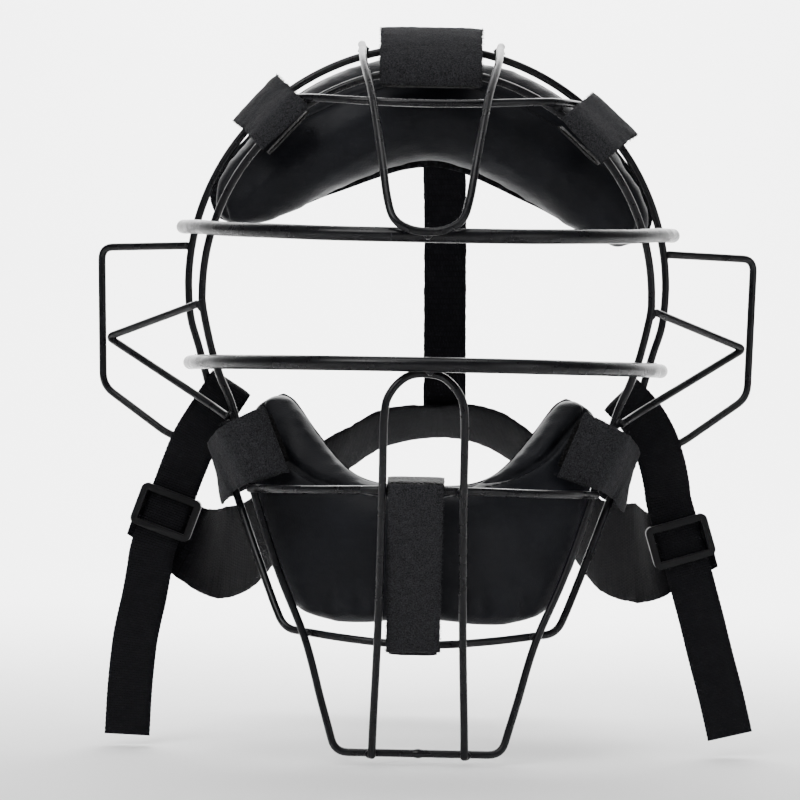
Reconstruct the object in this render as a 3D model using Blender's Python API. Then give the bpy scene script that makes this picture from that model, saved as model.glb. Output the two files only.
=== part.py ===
"""Wire face mask for a baseball catcher or umpire, in metres, +Z up.

The wearer looks along -Y. X = 0 is the plane of symmetry of the wire cage, Y = 0 is the
plane of the rear hoop, and the origin is the middle of the face opening at eye level.
Lengths below are in millimetres and are turned into metres when a mesh is made.
"""
import bpy
from math import cos, pi, radians, sin
from mathutils import Vector

MM = 0.001

# ---- driving dimensions (mm) ----
GAP = 0.3                     # clearance between neighbouring solids
SOFT_GAP = 0.8                # clearance between the layers of a pad
WIRE = 1.5                    # radius of the thin wires
EYE_BAR = 2.75                # radius of the two thick eye bars
REAR_RADIUS = 93.0            # upper arc of the rear hoop
REAR_CENTRE_Z = 5.7
FRONT_RADIUS = 86.0           # upper arc of the front hoop
FRONT_CENTRE_Z = 1.0
FRONT_DEPTH = -22.0           # the front hoop stands this far in front of the rear hoop
EYE_BAR_DEPTH = -85.0         # how far forward the eye bars bow
CHIN_DEPTH = -77.0
WEBBING_WIDTH = 18.0
WEBBING_THICK = 1.2
ELASTIC_THICK = 1.6
COVER_THICK = 1.0             # vinyl skin of the pads
PAD_TILT = -2.0               # degrees, how far the forehead pad has slipped round
SLIDER_WIDTH = 24.6
SLIDER_HEIGHT = 17.0
SLIDER_RAIL = 2.7

COLOURS = {
    "wire": ((0.012, 0.012, 0.014), 0.25, 0.3),
    "vinyl": ((0.016, 0.017, 0.019), 0.42, 0.0),
    "foam": ((0.05, 0.05, 0.055), 0.9, 0.0),
    "mesh_lining": ((0.02, 0.02, 0.022), 0.85, 0.0),
    "loop_fabric": ((0.035, 0.035, 0.038), 0.95, 0.0),
    "hook_fabric": ((0.01, 0.01, 0.011), 0.7, 0.0),
    "webbing": ((0.012, 0.012, 0.014), 0.8, 0.0),
    "elastic": ((0.01, 0.01, 0.012), 0.85, 0.0),
    "slider_plastic": ((0.014, 0.014, 0.015), 0.45, 0.0),
}


# ---- helpers ----
def clear_scene():
    for obj in list(bpy.data.objects):
        bpy.data.objects.remove(obj, do_unlink=True)


def material(slot):
    existing = bpy.data.materials.get(slot)
    if existing:
        return existing
    colour, roughness, metallic = COLOURS[slot]
    mat = bpy.data.materials.new(slot)
    mat.use_nodes = True
    shader = mat.node_tree.nodes["Principled BSDF"]
    shader.inputs["Base Color"].default_value = (*colour, 1.0)
    shader.inputs["Roughness"].default_value = roughness
    shader.inputs["Metallic"].default_value = metallic
    return mat


def mirrored(point):
    return Vector((-point[0], point[1], point[2]))


def spline_through(points, step, closed=False):
    """Points along a Catmull-Rom curve through the given ones, about step apart."""
    points = [Vector(p) for p in points]
    count = len(points)
    out = []
    for i in range(count if closed else count - 1):
        if closed:
            a, b, c, d = (points[(i + k) % count] for k in (-1, 0, 1, 2))
        else:
            b, c = points[i], points[i + 1]
            a = points[i - 1] if i > 0 else b + (b - c)
            d = points[i + 2] if i + 2 < count else c + (c - b)
        parts = max(1, round((c - b).length / step))
        for k in range(parts):
            t = k / parts
            out.append(0.5 * (2 * b + (c - a) * t + (2 * a - 5 * b + 4 * c - d) * t ** 2
                              + (3 * b - a - 3 * c + d) * t ** 3))
    if not closed:
        out.append(points[-1].copy())
    return out


def rounded_corners(points, radius, parts=4):
    """A run of straight lines whose corners are eased over about radius."""
    points = [Vector(p) for p in points]
    out = [points[0]]
    for before, corner, after in zip(points, points[1:], points[2:]):
        start = corner + (before - corner).normalized() * radius
        end = corner + (after - corner).normalized() * radius
        for k in range(parts + 1):
            t = k / parts
            out.append(start * (1 - t) ** 2 + corner * 2 * t * (1 - t) + end * t ** 2)
    out.append(points[-1])
    return out


def wire(name, points, radius=WIRE, closed=False):
    """A round wire along the points, as a bevelled poly curve."""
    curve = bpy.data.curves.new(name, "CURVE")
    curve.dimensions = "3D"
    curve.bevel_depth = radius * MM
    curve.bevel_resolution = 2
    curve.use_fill_caps = True
    line = curve.splines.new("POLY")
    line.points.add(len(points) - 1)
    line.use_cyclic_u = closed
    for spot, point in zip(line.points, points):
        spot.co = (*(Vector(point) * MM), 1.0)
    curve.materials.append(material("wire"))
    obj = bpy.data.objects.new(name, curve)
    bpy.context.collection.objects.link(obj)
    return obj


def loft(name, sections, slot, origin=(0, 0, 0)):
    """One closed body skinned over equal-sized rings of points, with flat ends."""
    ring = len(sections[0])
    origin = Vector(origin)
    verts = [(Vector(p) - origin) * MM for section in sections for p in section]
    faces = []
    for s in range(len(sections) - 1):
        for k in range(ring):
            a, b = s * ring + k, s * ring + (k + 1) % ring
            faces.append((a, b, b + ring, a + ring))
    faces.append(tuple(reversed(range(ring))))
    faces.append(tuple((len(sections) - 1) * ring + k for k in range(ring)))
    mesh = bpy.data.meshes.new(name)
    mesh.from_pydata(verts, [], faces)
    mesh.materials.append(material(slot))
    obj = bpy.data.objects.new(name, mesh)
    obj.location = origin * MM
    bpy.context.collection.objects.link(obj)
    face_outwards(mesh)
    return obj


def face_outwards(mesh):
    """Flips every face of a closed mesh whose signed volume is negative."""
    volume = 0.0
    for polygon in mesh.polygons:
        corners = [mesh.vertices[i].co for i in polygon.vertices]
        for b, c in zip(corners[1:], corners[2:]):
            volume += corners[0].dot(b.cross(c))
    if volume < 0:
        mesh.flip_normals()


def strip(name, stations, width, thick, slot, origin=(0, 0, 0)):
    """A flat band: each station is (centre, direction across), and width may be one per station."""
    widths = width if isinstance(width, list) else [width] * len(stations)
    sections = []
    centres = [Vector(centre) for centre, _ in stations]
    for i, (_, across) in enumerate(stations):
        ahead = centres[min(i + 1, len(centres) - 1)] - centres[max(i - 1, 0)]
        ahead.normalize()
        across = Vector(across)
        across -= ahead * across.dot(ahead)
        across.normalize()
        normal = ahead.cross(across)
        side, up = across * widths[i] / 2, normal * thick / 2
        centre = centres[i]
        sections.append([centre - side - up, centre + side - up, centre + side + up, centre - side + up])
    return loft(name, sections, slot, origin)


# ---- wire cage ----
def hoop(name, arc_radius, arc_centre, arc_depth, leg, bottom, corner):
    """A closed hoop: round over the top, down both legs, round the corners, along the bottom."""
    top = []
    for degrees in range(0, 91, 6):
        angle = radians(degrees)
        top.append(Vector((arc_radius * sin(angle), arc_depth(angle), arc_centre + arc_radius * cos(angle))))
    side = spline_through(top[-2:] + leg, 6)[2:]
    last = rounded_corners([side[-1], corner, bottom[0]], 5)[1:-1]
    half = top + side[:-1] + last + spline_through(bottom, 7)
    return wire(name, half + [mirrored(p) for p in reversed(half[1:-1])], closed=True)


def rear_hoop():
    leg = [Vector(p) for p in ((91.9, 0, -8), (88.5, 0, -19.5), (85.3, 0, -31), (81.5, 0, -45),
                               (76, -2.5, -66), (68, -10, -88), (60, -20, -108), (54.5, -27, -121))]
    bottom = [Vector(p) for p in ((44, -33.9, -127.4), (29, -43, -128.8), (12, -49.2, -130), (0, -50, -130.3))]
    return hoop("rear_hoop", REAR_RADIUS, REAR_CENTRE_Z, lambda angle: 0.0, leg, bottom, (51.5, -29.5, -126.8))


def front_hoop():
    def depth(angle):
        return FRONT_DEPTH - 4 * cos(angle)
    leg = [Vector(p) for p in ((85.6, -22, -5), (82.2, -22, -20), (78.4, -22.4, -31.4), (73, -23, -44.4),
                               (65, -26, -73.4), (54.5, -32, -104), (43.6, -38, -129.5),
                               (37, -42, -152), (32.8, -44.6, -166))]
    bottom = [Vector(p) for p in ((25, -46, -171.4), (12, -46, -171.4), (0, -46, -171.4))]
    return hoop("front_hoop", FRONT_RADIUS, FRONT_CENTRE_Z, depth, leg, bottom, (31.3, -45.8, -171.4))


def both_sides(half):
    """A line given from its right-hand end to the middle, continued to the left-hand end."""
    half = [Vector(p) for p in half]
    return half + [mirrored(p) for p in reversed(half[:-1])]


def eye_bars():
    upper = [(95.2, 8, 27.4), (95.1, 0, 27), (87.3, -22.5, 25.8), (76, -44, 24), (58, -65, 22.5),
             (34, -79.5, 21.3), (0, EYE_BAR_DEPTH, 20.9)]
    lower = [(92, 8, -25.8), (91.4, 0, -25.8), (84.9, -22.3, -25.8), (74.5, -45, -25.9), (57, -66, -26),
             (33, -80.5, -26), (0, EYE_BAR_DEPTH - 1, -26)]
    for name, half in (("upper_eye_bar", upper), ("lower_eye_bar", lower)):
        wire(name, spline_through(both_sides(half), 6), EYE_BAR)


def cross_bars():
    brow = [(60.8, -3.4, 76.2), (54, -18, 76), (46.8, -29.6, 75.4), (33, -39, 74), (16, -44.6, 72.8), (0, -46, 72.4)]
    chin = [(66, -28.6, -73.8), (63.5, -31.5, -73.7), (54, -48, -73.2), (38, -64, -72.6),
            (19, -74.6, -72), (0, CHIN_DEPTH, -71.8)]
    wire("brow_bar", spline_through(both_sides(brow), 5))
    wire("chin_bar", spline_through(both_sides(chin), 6))


def centre_loops():
    """The U that drops onto the upper eye bar and the arch that rises to the lower one."""
    upper = [(27.2, -1, 99.2), (26.8, -4.2, 98.3), (25.6, -27, 89.6), (21.7, -49.6, 74.2), (17.4, -74, 49.5),
             (15, -84.5, 34.5), (12.4, -88.7, 26.6), (7, -89.8, 22.9), (0, -89.6, 21.9)]
    wire("upper_centre_loop", spline_through(both_sides(upper), 5))
    lower = [(17.3, -49.4, -172.2), (17, -50.5, -160), (15.9, -58, -130), (15.2, -70, -100), (14.8, -80.6, -70),
             (14.6, -83.4, -45), (12.6, -83, -36.6), (7, -82.2, -30.7), (0, -81.8, -29.2)]
    wire("lower_centre_loop", spline_through(both_sides(lower), 5))


def ear_guards():
    frame = [(93.9, 0, 19.6), (129, 18, 19.2), (127.4, 18, -35.4), (100, 10.5, -54.6), (80.6, 9.6, -58.6), (77.8, 2.2, -58.2)]
    brace = [(88, -22.4, -3.8), (125.4, 14.6, -16.3), (82, -17.6, -42.3), (75.2, -25.2, -46.6)]
    for side, sign in (("left", -1), ("right", 1)):
        for name, line, radius in (("ear_guard_frame", frame, 5), ("ear_guard_brace", brace, 3.2)):
            points = [(sign * x, y, z) for x, y, z in line]
            wire(f"{side}_{name}", rounded_corners(points, radius))


# ---- pads ----
def skin_profile(outline, inset):
    """The open outline moved inwards by inset, both as (across, depth) pairs."""
    moved = []
    for i, point in enumerate(outline):
        before, after = outline[max(i - 1, 0)], outline[min(i + 1, len(outline) - 1)]
        along = (after - before).normalized()
        moved.append(point + Vector((-along.y, along.x)) * inset)
    return moved


def pad(name, stations, crown):
    """Cover, foam and lining of one pad.

    Each station is (inner edge, outer edge, front depth, back depth), where the edges are (x, z)
    and the front bulges by up to crown between them. Every piece is lofted along the stations.
    """
    shape = ((0.0, 1.0), (0.01, 0.45), (0.1, 0.12), (0.3, -0.1), (0.5, -0.16), (0.7, -0.06),
             (0.9, 0.16), (0.99, 0.5), (1.0, 1.0))
    cover, foam, lining = [], [], []
    for inner, outer, front, back in stations:
        inner, outer = Vector(inner), Vector(outer)
        span = (outer - inner).length
        across = (outer - inner) / span
        depth = back - front
        scale = min(1.0, span / 30)

        def place(pairs):
            return [Vector((inner.x + across.x * p.x, p.y, inner.y + across.y * p.x)) for p in pairs]
        outline = [Vector((t * span, front + d * depth if d > 0 else front + d * crown * scale))
                   for t, d in shape]
        inside = skin_profile(outline, COVER_THICK)
        core = skin_profile(outline, COVER_THICK + SOFT_GAP)
        inside[0].y = inside[-1].y = back
        for point in core:
            point.y = min(point.y, back - 2 * SOFT_GAP)
        cover.append(place(outline + list(reversed(inside))))
        foam.append(place(core))
        edge = 1.0
        near, far = back + GAP, back + GAP + COVER_THICK
        lining.append(place([Vector((edge, near)), Vector((span - edge, near)),
                             Vector((span - edge, far)), Vector((edge, far))]))
    loft(f"{name}_cover", cover, "vinyl")
    loft(f"{name}_foam", foam, "foam")
    loft(f"{name}_lining", lining, "mesh_lining")


def forehead_pad():
    """A crescent behind the top of the hoops, thin at its tips, turned a little by PAD_TILT."""
    half = ((0, 46.8, 92), (8, 46.5, 92), (14, 46.4, 93.6), (28, 46.6, 94), (42, 49.2, 94), (54, 54.5, 94.8),
            (63, 60, 96), (70, 67, 94.6), (75, 77, 88))
    stations = []
    for sign in (-1, 1):
        rows = half[:0:-1] if sign < 0 else half
        for degrees, inner, outer in rows:
            angle = radians(sign * degrees - PAD_TILT)
            edges = [(r * sin(angle), REAR_CENTRE_Z + r * cos(angle)) for r in (inner, outer)]
            thin = max(0.0, (degrees - 54) / 21)
            stations.append((*edges, 2.4 + 1.2 * thin, 22 - 8 * thin))
    pad("forehead_pad", stations, 30)


def chin_pad():
    """A cup round the chin with a cheek rising on each side."""
    half = (((0, -70), (0, -123.5), -45, -27), ((15, -69.5), (18, -125), -43.5, -26), ((25, -66.5), (35, -124.5), -39, -22),
            ((32, -61), (48, -119.5), -33, -16), ((38, -54), (57, -106), -26, -8), ((43, -48), (62, -90), -21.5, -3),
            ((47, -42.5), (64.5, -73), -17, 1), ((50.5, -38.5), (66, -56), -12, 5), ((55, -36.2), (66.8, -43.5), -8, 7))
    stations = []
    for inner, outer, front, back in half[:0:-1]:
        stations.append(((-inner[0], inner[1]), (-outer[0], outer[1]), front, back))
    stations += half
    pad("chin_pad", stations, 22)


# ---- hook-and-loop tabs ----
def polar(angle, centre_z):
    """Outward and sideways directions at an angle from the top of a hoop."""
    outward = Vector((sin(angle), 0, cos(angle)))
    sideways = Vector((cos(angle), 0, -sin(angle)))
    return Vector((0, 0, centre_z)), outward, sideways


def band_over_hoops(name, degrees, slant, pairs, width, slot, shift=0.0, origin=(0, 0, 0)):
    """A flat band whose middle line is given as (radius, depth) pairs at one place on the hoops."""
    angle = radians(degrees)
    centre, outward, sideways = polar(angle, REAR_CENTRE_Z)
    across = sideways * cos(radians(slant)) + outward * sin(radians(slant))
    line = spline_through([centre + outward * r + sideways * shift + Vector((0, y, 0)) for r, y in pairs], 4)
    return strip(name, [(p, across) for p in line], width, 1.2, slot, origin)


def forehead_tabs():
    """Each tab: a loop-fabric flap over both hoops, a sewn root and a hook strip under the hoops."""
    centre_flap = ((97.6, 6.4), (99.5, 1.5), (99.2, -8), (94.5, -18), (87, -27), (81.5, -30.2), (75, -30.4))
    side_flap = ((97.9, 6.4), (99.3, 0.5), (97.6, -9), (92, -19), (87.2, -27), (83.4, -29.6), (79.6, -29.8))
    centre_hook = ((79.3, -4.8), (76.9, -12), (75.6, -20), (75.2, -28.8))
    side_hook = ((81, -4.2), (79, -13), (78.3, -21), (78, -28.3))
    root = ((97.7, 7.2), (96.5, 12), (95.6, 17))
    for name, degrees, slant, flap, hook, width in (
            ("forehead_centre", 0, 0, centre_flap, centre_hook, 39),
            ("forehead_left", -43.5, 4, side_flap, side_hook, 24),
            ("forehead_right", 46.5, 4, side_flap, side_hook, 23)):
        centre, outward, _ = polar(radians(degrees), REAR_CENTRE_Z)
        hinge = centre + outward * flap[0][0] + Vector((0, flap[0][1], 0))
        band_over_hoops(f"{name}_tab", degrees, slant, flap, width, "loop_fabric", origin=hinge)
        band_over_hoops(f"{name}_hook", degrees, slant, hook, width - 2, "hook_fabric")
        band_over_hoops(f"{name}_root", degrees, slant, root, width - 4, "loop_fabric")


def chin_centre_tab():
    """The strap in front of the chin pad, from under the jaw wire to the chin bar."""
    middle = -2.6

    def stations(line):
        return [(p, (1, 0, 0)) for p in spline_through([(middle, y, z) for y, z in line], 5)]
    flap = [(-53.2, -133), (-55.2, -129), (-64, -110), (-74, -88), (-80.9, -75.5), (-81.3, -69.6)]
    hook = [(-52.5, -68.2), (-62, -67.6), (-73.5, -68.6), (-78.4, -69.2), (-79.9, -71), (-80, -74)]
    root = [(-52.4, -133.6), (-48, -133.4), (-43, -129.4), (-39.5, -125.8)]
    strip("chin_centre_tab", stations(flap), 20, 1.2, "loop_fabric", (middle, *flap[0]))
    strip("chin_centre_hook", stations(hook), 21, 0.8, "hook_fabric")
    strip("chin_centre_root", stations(root), 18, 1.2, "loop_fabric")


def chin_side_tabs():
    """A root beside both hoops, a flap that closes over the cheek, and a hook patch on the pad behind."""
    root = ((67.6, 2.7, -66), (73, 3.7, -68), (78, 3.4, -70), (79.6, 1.4, -71.4), (79.5, -4.5, -71.2),
            (78.6, -12, -68.4), (77.5, -17.6, -65.6))
    flap = ((76.4, -21.4, -63.8), (72.4, -29, -61.4), (67, -31, -59), (61, -30.6, -56.6), (56, -29.8, -54.6))
    hook = ((62, -27.6, -57), (58, -27.2, -55.4), (54.6, -26.8, -54))

    def run(sign, points, lean_from, lean_to, wide_from, wide_to):
        line = spline_through([(sign * x, y, z) for x, y, z in points], 4)
        stations, widths = [], []
        for i, point in enumerate(line):
            t = i / (len(line) - 1)
            lean = radians(lean_from + (lean_to - lean_from) * t)
            stations.append((point, (sign * sin(lean), 0, cos(lean))))
            widths.append(wide_from + (wide_to - wide_from) * t)
        return stations, widths
    for side, sign in (("left", -1), ("right", 1)):
        strip(f"chin_{side}_root", *run(sign, root, -15, 26, 15, 22), 1.2, "loop_fabric")
        stations, widths = run(sign, flap, 26, 34, 22, 26)
        strip(f"chin_{side}_tab", stations, widths, 1.2, "loop_fabric", stations[0][0])
        strip(f"chin_{side}_hook", *run(sign, hook, 34, 34, 19, 19), 0.8, "hook_fabric")


# ---- harness ----
def in_plane_across(direction):
    return Vector((-direction.z, 0, direction.x))


def side_harness(side, sign, bight, slider, lean, tail, tail_lean):
    """Webbing looped round the rear hoop, its slider, and the loose tail below."""
    down = Vector((sign * sin(radians(lean)), 0, -cos(radians(lean))))
    centre = Vector((slider[0], 0, slider[1]))
    plan = spline_through([Vector((x, 0, z)) for x, z in bight] + [centre - down * 16], 5)
    front_y, back_y, slider_back_y = -4.0, 2.6, 3.5
    middle_y, fold_radius = (front_y + back_y) / 2, (back_y - front_y) / 2
    front, back = [], []
    for i, point in enumerate(plan):
        blend = max(0.0, 2 * i / (len(plan) - 1) - 1) ** 2
        front.append(point + Vector((0, front_y * (1 - blend), 0)))
        back.append(point + Vector((0, back_y + (slider_back_y - back_y) * blend, 0)))
    start = (plan[1] - plan[0]).normalized()
    fold = []
    for turn in range(1, 6):
        angle = pi * turn / 6
        fold.append(plan[0] + Vector((0, middle_y + fold_radius * cos(angle), 0)) - start * fold_radius * sin(angle))
    below = (centre + down * 14).lerp(Vector(tail[0]), 0.44)
    front += [centre - down * 4, centre + down * 14, below]
    behind = Vector((0, slider_back_y, 0))
    sewn_end = [centre + down * 9 + behind, centre - down * 4 + behind]
    line = sewn_end + list(reversed(back)) + fold + front
    half = len(sewn_end) + len(back)
    stations = []
    for i, point in enumerate(line):
        on_fold = half <= i < half + len(fold)
        if on_fold:
            across = in_plane_across(start)
        else:
            ahead = line[min(i + 1, len(line) - 1)] - line[max(i - 1, 0)]
            ahead.y = 0
            if i < half:
                ahead = -ahead
            across = in_plane_across(start if i in (half - 1, half + len(fold)) else ahead.normalized())
        stations.append((point, across))
    strip(f"{side}_webbing", stations, WEBBING_WIDTH, WEBBING_THICK, "webbing")

    onward = (Vector(tail[0]) - below).normalized()
    hinge = below + onward * 2 * GAP
    drop = spline_through([hinge] + [Vector(p) for p in tail], 7)
    across = in_plane_across(onward)
    last = Vector((cos(radians(tail_lean)), 0, sign * sin(radians(tail_lean)))) * (1 if across.x > 0 else -1)
    stations = [(p, across.lerp(last, i / (len(drop) - 1))) for i, p in enumerate(drop)]
    strip(f"{side}_tail", stations, WEBBING_WIDTH, WEBBING_THICK, "webbing", hinge)
    slider_buckle(f"{side}_slider", centre, down, in_plane_across(down))
    return centre, down


def slider_buckle(name, centre, down, across):
    """A three-bar slider: two side rails, outer bars in front of the webbing, middle bar behind it."""
    half_w, half_h = SLIDER_WIDTH / 2, SLIDER_HEIGHT / 2
    front = Vector((0, -1, 0))
    wide = (-half_w, -half_w + SLIDER_RAIL, half_w - SLIDER_RAIL, half_w)
    high = (-half_h, -half_h + 2.7, -1.6, 1.6, half_h - 2.7, half_h)
    deep = (-2.55, -0.95, 0.95, 3.1)

    def filled(i, j, k):
        if not (0 <= i < 3 and 0 <= j < 5 and 0 <= k < 3):
            return False
        return i != 1 or (j in (0, 4) and k == 2) or (j == 2 and k == 0)
    sides = (((-1, 0, 0), ((0, 0, 0), (0, 0, 1), (0, 1, 1), (0, 1, 0))),
             ((1, 0, 0), ((1, 0, 0), (1, 1, 0), (1, 1, 1), (1, 0, 1))),
             ((0, -1, 0), ((0, 0, 0), (1, 0, 0), (1, 0, 1), (0, 0, 1))),
             ((0, 1, 0), ((0, 1, 0), (0, 1, 1), (1, 1, 1), (1, 1, 0))),
             ((0, 0, -1), ((0, 0, 0), (0, 1, 0), (1, 1, 0), (1, 0, 0))),
             ((0, 0, 1), ((0, 0, 1), (1, 0, 1), (1, 1, 1), (0, 1, 1))))
    index, corners, faces = {}, [], []
    for i, j, k in ((i, j, k) for i in range(3) for j in range(5) for k in range(3)):
        if not filled(i, j, k):
            continue
        for (di, dj, dk), quad in sides:
            if filled(i + di, j + dj, k + dk):
                continue
            face = []
            for ci, cj, ck in quad:
                key = (i + ci, j + cj, k + ck)
                if key not in index:
                    index[key] = len(corners)
                    corners.append((across * wide[key[0]] + down * high[key[1]] + front * deep[key[2]]) * MM)
                face.append(index[key])
            faces.append(face)
    mesh = bpy.data.meshes.new(name)
    mesh.from_pydata(corners, [], faces)
    face_outwards(mesh)
    mesh.materials.append(material("slider_plastic"))
    obj = bpy.data.objects.new(name, mesh)
    obj.location = centre * MM
    bpy.context.collection.objects.link(obj)


def rear_strap(left, right):
    """Wide elastic from slider to slider round the back of the head, gathered at its sewn ends."""
    def end(centre, down, sign):
        outward = in_plane_across(down)
        if outward.x * sign < 0:
            outward = -outward
        behind = Vector((0, 6, 0))
        return [(centre + down * 4 + outward * 12 + behind, -down, 20), (centre + down * 4 + behind, -down, 24)]
    rows = end(*left, -1) + [
        (Vector((-89.4, 8.5, -97)), (0.25, 0, 0.97), 30), (Vector((-80, 35, -101.6)), (0.05, 0, 1), 37),
        (Vector((-68.8, 70, -98)), (0, -0.2, 1), 38), (Vector((-52.4, 112, -80)), (0, -0.6, 0.8), 38),
        (Vector((-36.4, 138, -63.8)), (0.1, -0.82, 0.55), 38), (Vector((-17.2, 152, -51.8)), (0, -0.9, 0.43), 38),
        (Vector((7, 158, -48.4)), (0, -0.93, 0.36), 38), (Vector((27, 152, -50.8)), (0, -0.9, 0.43), 38),
        (Vector((44.2, 138, -60.6)), (-0.1, -0.82, 0.55), 38), (Vector((58.8, 112, -80)), (0, -0.6, 0.8), 38),
        (Vector((73.6, 70, -97)), (0, -0.2, 1), 38), (Vector((86, 35, -98.6)), (-0.05, 0, 1), 40),
        (Vector((92.6, 8.5, -97.6)), (-0.25, 0, 0.97), 33)] + list(reversed(end(*right, 1)))
    stations, widths = [], []
    for i in range(len(rows) - 1):
        centres = [rows[min(max(i + k, 0), len(rows) - 1)][0] for k in (-1, 0, 1, 2)]
        run = spline_through(centres, 9)
        first, last = run.index(centres[1]), len(run) - 1 - run[::-1].index(centres[2])
        stretch = run[first:last]
        for k, point in enumerate(stretch):
            t = k / len(stretch)
            stations.append((point, Vector(rows[i][1]).lerp(Vector(rows[i + 1][1]), t)))
            widths.append(rows[i][2] + (rows[i + 1][2] - rows[i][2]) * t)
    stations.append(rows[-1][:2])
    widths.append(rows[-1][2])
    strip("rear_strap", stations, widths, ELASTIC_THICK, "elastic")


def crown_strap():
    """From the top of the forehead pad over the head, sewn to the middle of the rear strap."""
    line = [(0, 12, 98.9), (0, 22, 98.9), (0.5, 36, 99.8), (2, 62, 101), (4, 100, 94), (6, 128, 72), (7.4, 141, 40),
            (8, 144, 5), (8.4, 141.5, -22), (8.6, 140.8, -32), (8.6, 143, -38.6), (8.6, 148, -41.4), (8.6, 159, -45.4),
            (8.6, 171, -50.4)]
    points = spline_through(line, 8)
    strip("crown_strap", [(p, (1, 0, 0)) for p in points], 18.4, 1.5, "elastic")


def build():
    clear_scene()
    rear_hoop()
    front_hoop()
    eye_bars()
    cross_bars()
    centre_loops()
    ear_guards()
    forehead_pad()
    chin_pad()
    forehead_tabs()
    chin_centre_tab()
    chin_side_tabs()
    left = side_harness("left", -1, ((-77.2, -36.3), (-82.4, -44.6), (-89.2, -56)), (-100, -84.4), 19.5,
                        ((-108.2, 0, -119), (-111, 0, -133), (-112.8, 0, -152), (-113.6, 0, -171.5)), 3)
    right = side_harness("right", 1, ((78.6, -37.6), (84.2, -43.6), (89.6, -52.5), (93.8, -65)), (100.6, -91.9), 16.8,
                         ((109.4, 0, -122), (113.4, 0, -137), (117.6, 0, -152), (121.4, 0, -167.5)), 14)
    rear_strap(left, right)
    crown_strap()


build()
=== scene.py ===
"""Looks of the wire face mask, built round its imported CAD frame.

Lengths are in millimetres until a mesh is made.
"""
import random
from math import cos, exp, pi, radians, sin

import bmesh
import bpy
from mathutils import Matrix, Vector, noise
from mathutils.bvhtree import BVHTree
from mathutils.kdtree import KDTree


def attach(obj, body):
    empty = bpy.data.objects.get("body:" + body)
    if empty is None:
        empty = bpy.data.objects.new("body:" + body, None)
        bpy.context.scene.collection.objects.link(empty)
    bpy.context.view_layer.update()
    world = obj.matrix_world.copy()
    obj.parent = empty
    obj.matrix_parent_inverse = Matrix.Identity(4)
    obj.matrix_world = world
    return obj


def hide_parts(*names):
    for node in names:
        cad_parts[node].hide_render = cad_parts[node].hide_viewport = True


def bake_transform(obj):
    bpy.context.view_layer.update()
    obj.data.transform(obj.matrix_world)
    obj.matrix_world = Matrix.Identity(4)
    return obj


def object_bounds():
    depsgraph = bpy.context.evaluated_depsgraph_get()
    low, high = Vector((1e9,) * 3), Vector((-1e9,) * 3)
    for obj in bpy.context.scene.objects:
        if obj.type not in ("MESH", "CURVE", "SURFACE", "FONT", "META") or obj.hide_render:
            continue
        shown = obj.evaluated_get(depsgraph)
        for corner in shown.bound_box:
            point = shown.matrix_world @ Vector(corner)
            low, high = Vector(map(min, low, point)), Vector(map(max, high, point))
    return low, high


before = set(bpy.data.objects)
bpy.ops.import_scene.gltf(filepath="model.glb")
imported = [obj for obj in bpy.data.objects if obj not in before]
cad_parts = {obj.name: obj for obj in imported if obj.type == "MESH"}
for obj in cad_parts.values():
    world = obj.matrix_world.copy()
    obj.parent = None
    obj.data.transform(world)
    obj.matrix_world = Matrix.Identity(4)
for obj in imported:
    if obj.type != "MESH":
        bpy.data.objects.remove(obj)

CAD_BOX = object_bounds()
MM = 0.001

# ---- driving dimensions, as in the CAD (mm) ----
WIRE = 1.5
EYE_BAR = 2.75
REAR_RADIUS = 93.0
REAR_CENTRE_Z = 5.7
FRONT_RADIUS = 86.0
FRONT_CENTRE_Z = 1.0
FRONT_DEPTH = -22.0
EYE_BAR_DEPTH = -85.0
CHIN_DEPTH = -77.0
WEBBING_WIDTH = 18.0
WEBBING_THICK = 1.2
ELASTIC_THICK = 1.6
CROWN_WIDTH = 18.4
SLIDER = (24.6, 17.0)
TAB_THICK = 1.2
HOOK_THICK = 0.8
WEBBING_STRAIGHT = 14.0          # how far the webbing runs straight below the slider's middle
TAIL_SHARE = 0.44                # where the tail's hinge lies between there and the tail's first point
TAIL_GAP = 0.6
WELD_REACH = 1.6
WELD_SPACING = 9.0
WELD_HALF_LENGTH = 2.2
PAD_TILT = -2.0

# ---- camera ----
EYE = (0.0, -1.2, -0.039)
FOCAL = 138.5
ROLL = radians(1.1)
YAW = radians(0.46)


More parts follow.
